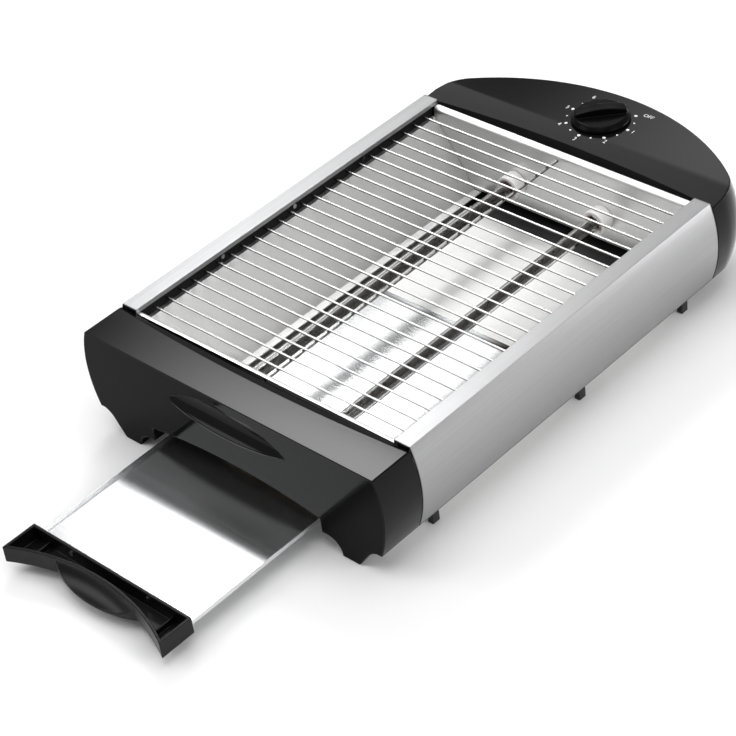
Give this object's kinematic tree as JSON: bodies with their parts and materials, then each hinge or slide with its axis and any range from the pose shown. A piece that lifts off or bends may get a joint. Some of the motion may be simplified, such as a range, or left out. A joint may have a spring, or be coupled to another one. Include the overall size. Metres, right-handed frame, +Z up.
{
  "type": "flat toaster",
  "caption": "Flat toaster with swelled steel sides, black end caps, wire grille over two quartz heaters, a dial timer and a slide-out crumb tray",
  "frame": {"origin": "On the table under the middle of the whole length, with the tray drawn out as at rest, and on the plane of symmetry", "axes": "+X runs across to the right seen from the tray end, +Y runs lengthwise from the tray end to the timer end, +Z is up"},
  "size_m": [0.2306, 0.4848, 0.0781],
  "materials": {
    "black_gloss_plastic": "gloss black, lightly moulded",
    "black_matte_plastic": "matte black",
    "brushed_stainless": "brushed along its length",
    "bright_reflector": "bright satin",
    "polished_tray_steel": "polished sheet",
    "black_enamelled_steel": "black enamel",
    "plated_wire": "bright plating",
    "quartz": "clear",
    "resistance_wire": "dark oxidised",
    "steatite": "unglazed white",
    "brass_strip": "plain",
    "lead_insulation": "woven glass sleeve",
    "timer_plastic": "moulded",
    "white_print": "printed ink"
  },
  "bodies": {
    "housing": {"front_cap": "black_gloss_plastic", "rear_cap": "black_gloss_plastic", "rear_base": "black_matte_plastic", "floor_pan": "bright_reflector", "left_side_panel": "brushed_stainless", "right_side_panel": "brushed_stainless", "left_reflector": "bright_reflector", "right_reflector": "bright_reflector", "front_reflector": "bright_reflector", "rear_reflector": "bright_reflector", "left_wire_rail": "black_enamelled_steel", "right_wire_rail": "black_enamelled_steel", "rail_rivets": "plated_wire", "grille_wires": "plated_wire", "grille_spine": "plated_wire", "left_quartz_tube": "quartz", "right_quartz_tube": "quartz", "left_heating_coil": "resistance_wire", "right_heating_coil": "resistance_wire", "ceramic_holders": "steatite", "terminal_pins": "plated_wire", "series_link": "brass_strip", "lead_wires": "lead_insulation", "terminal_block": "steatite", "timer_case": "timer_plastic", "timer_screws": "plated_wire", "cord_gland": "black_matte_plastic", "tray_guides": "bright_reflector", "side_feet": "black_matte_plastic", "base_screws": "plated_wire"},
    "crumb_tray": {"tray_sheet": "polished_tray_steel", "tray_handle": "black_gloss_plastic", "tray_rivets": "plated_wire"},
    "timer_dial": {"timer_knob": "black_gloss_plastic", "timer_shaft": "plated_wire"}
  },
  "joints": [
    {"name": "tray_slide", "type": "slide", "parent": "housing", "child": "crumb_tray", "axis": [0, -1, 0], "range_m": [-0.117, 0.14]},
    {"name": "knob_turn", "type": "hinge", "parent": "housing", "child": "timer_dial", "pos_m": [0, 0.2076, 0.0694], "axis": [0, 0, 1], "range_deg": [-264, 0]}
  ]
}
